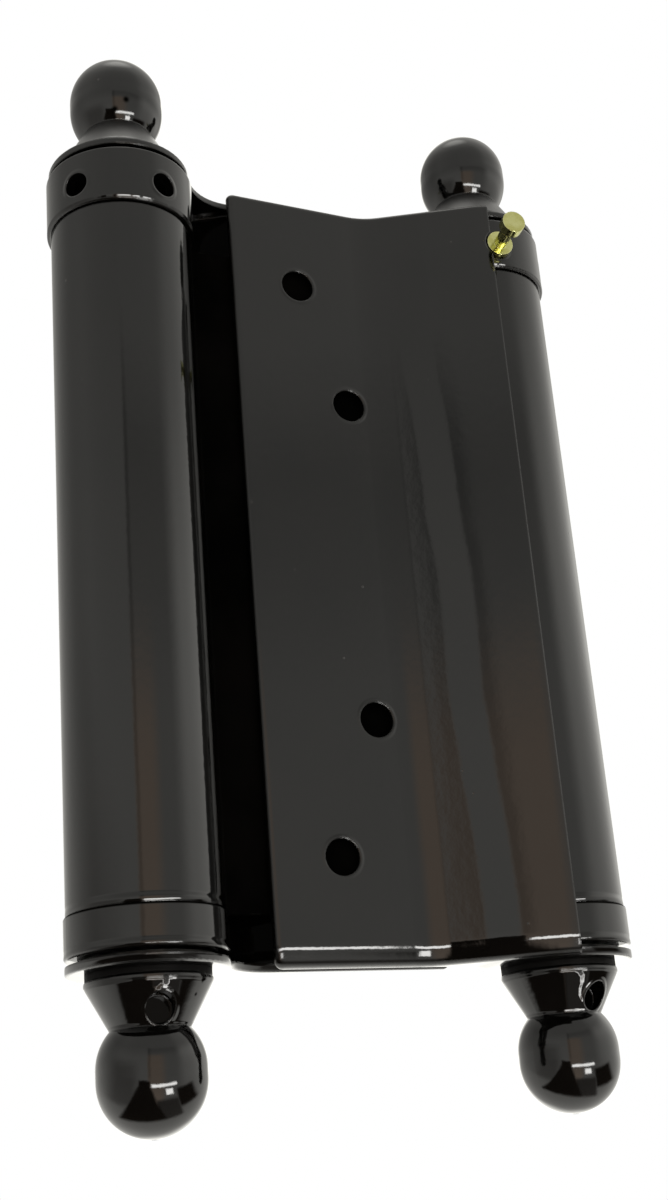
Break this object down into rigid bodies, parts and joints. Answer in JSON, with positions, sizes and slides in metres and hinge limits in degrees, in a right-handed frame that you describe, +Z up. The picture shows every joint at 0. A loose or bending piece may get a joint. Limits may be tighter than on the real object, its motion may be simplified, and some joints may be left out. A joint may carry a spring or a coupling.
{
  "type": "double action spring hinge",
  "caption": "Spring hinge for a swing door: two bent leaves on rolled barrels joined by a centre web, with tension collars, brass pins and ball finials, opening both ways.",
  "frame": {"origin": "centre of the closed hinge, midway between the two barrel axes and midway up", "axes": "+X from the left barrel to the right one, +Y from the door leaf's face to the jamb leaf's face, +Z up along the barrels"},
  "size_m": [0.088, 0.0384, 0.1694],
  "materials": {
    "black_paint": "gloss black enamel on steel",
    "dull_black": "dull black washer",
    "steel": "oiled plain steel",
    "brass": "turned yellow brass"
  },
  "bodies": {
    "jamb_leaf": {"rear_leaf": "black_paint", "left_spindle": "steel", "left_top_finial": "black_paint", "left_bottom_finial": "black_paint", "left_top_washer": "steel", "left_bottom_washer": "steel", "left_top_seat_ring": "dull_black", "left_bottom_seat_ring": "dull_black"},
    "centre": {"centre_web": "black_paint", "left_anchor_collar": "black_paint", "right_anchor_collar": "black_paint", "left_spring": "steel", "right_spring": "steel"},
    "door_leaf": {"front_leaf": "black_paint", "right_spindle": "steel", "right_top_finial": "black_paint", "right_bottom_finial": "black_paint", "right_top_washer": "steel", "right_bottom_washer": "steel", "right_top_seat_ring": "dull_black", "right_bottom_seat_ring": "dull_black"},
    "left_collar": {"left_tension_collar": "black_paint", "left_tension_pin": "brass"},
    "right_collar": {"right_tension_collar": "black_paint", "right_tension_pin": "brass"}
  },
  "joints": [
    {"name": "centre_swing", "type": "hinge", "parent": "jamb_leaf", "child": "centre", "pos_m": [-0.03245, 0, 0], "axis": [0, 0, -1], "range_deg": [0, 120], "stiffness_Nm_per_rad": 0.8, "springref_deg": -57.3, "deforming": ["left_spring"]},
    {"name": "door_swing", "type": "hinge", "parent": "centre", "child": "door_leaf", "pos_m": [0.03245, 0, 0], "axis": [0, 0, 1], "range_deg": [0, 120], "stiffness_Nm_per_rad": 0.8, "springref_deg": -57.3, "deforming": ["right_spring"]},
    {"name": "left_tension_turn", "type": "hinge", "parent": "jamb_leaf", "child": "left_collar", "pos_m": [-0.03245, 0, 0], "axis": [0, 0, 1], "range_deg": [0, 72], "stiffness_Nm_per_rad": 0.02, "springref_deg": -57.3},
    {"name": "right_tension_turn", "type": "hinge", "parent": "door_leaf", "child": "right_collar", "pos_m": [0.03245, 0, 0], "axis": [0, 0, 1], "range_deg": [0, 72], "stiffness_Nm_per_rad": 0.02, "springref_deg": -57.3}
  ]
}
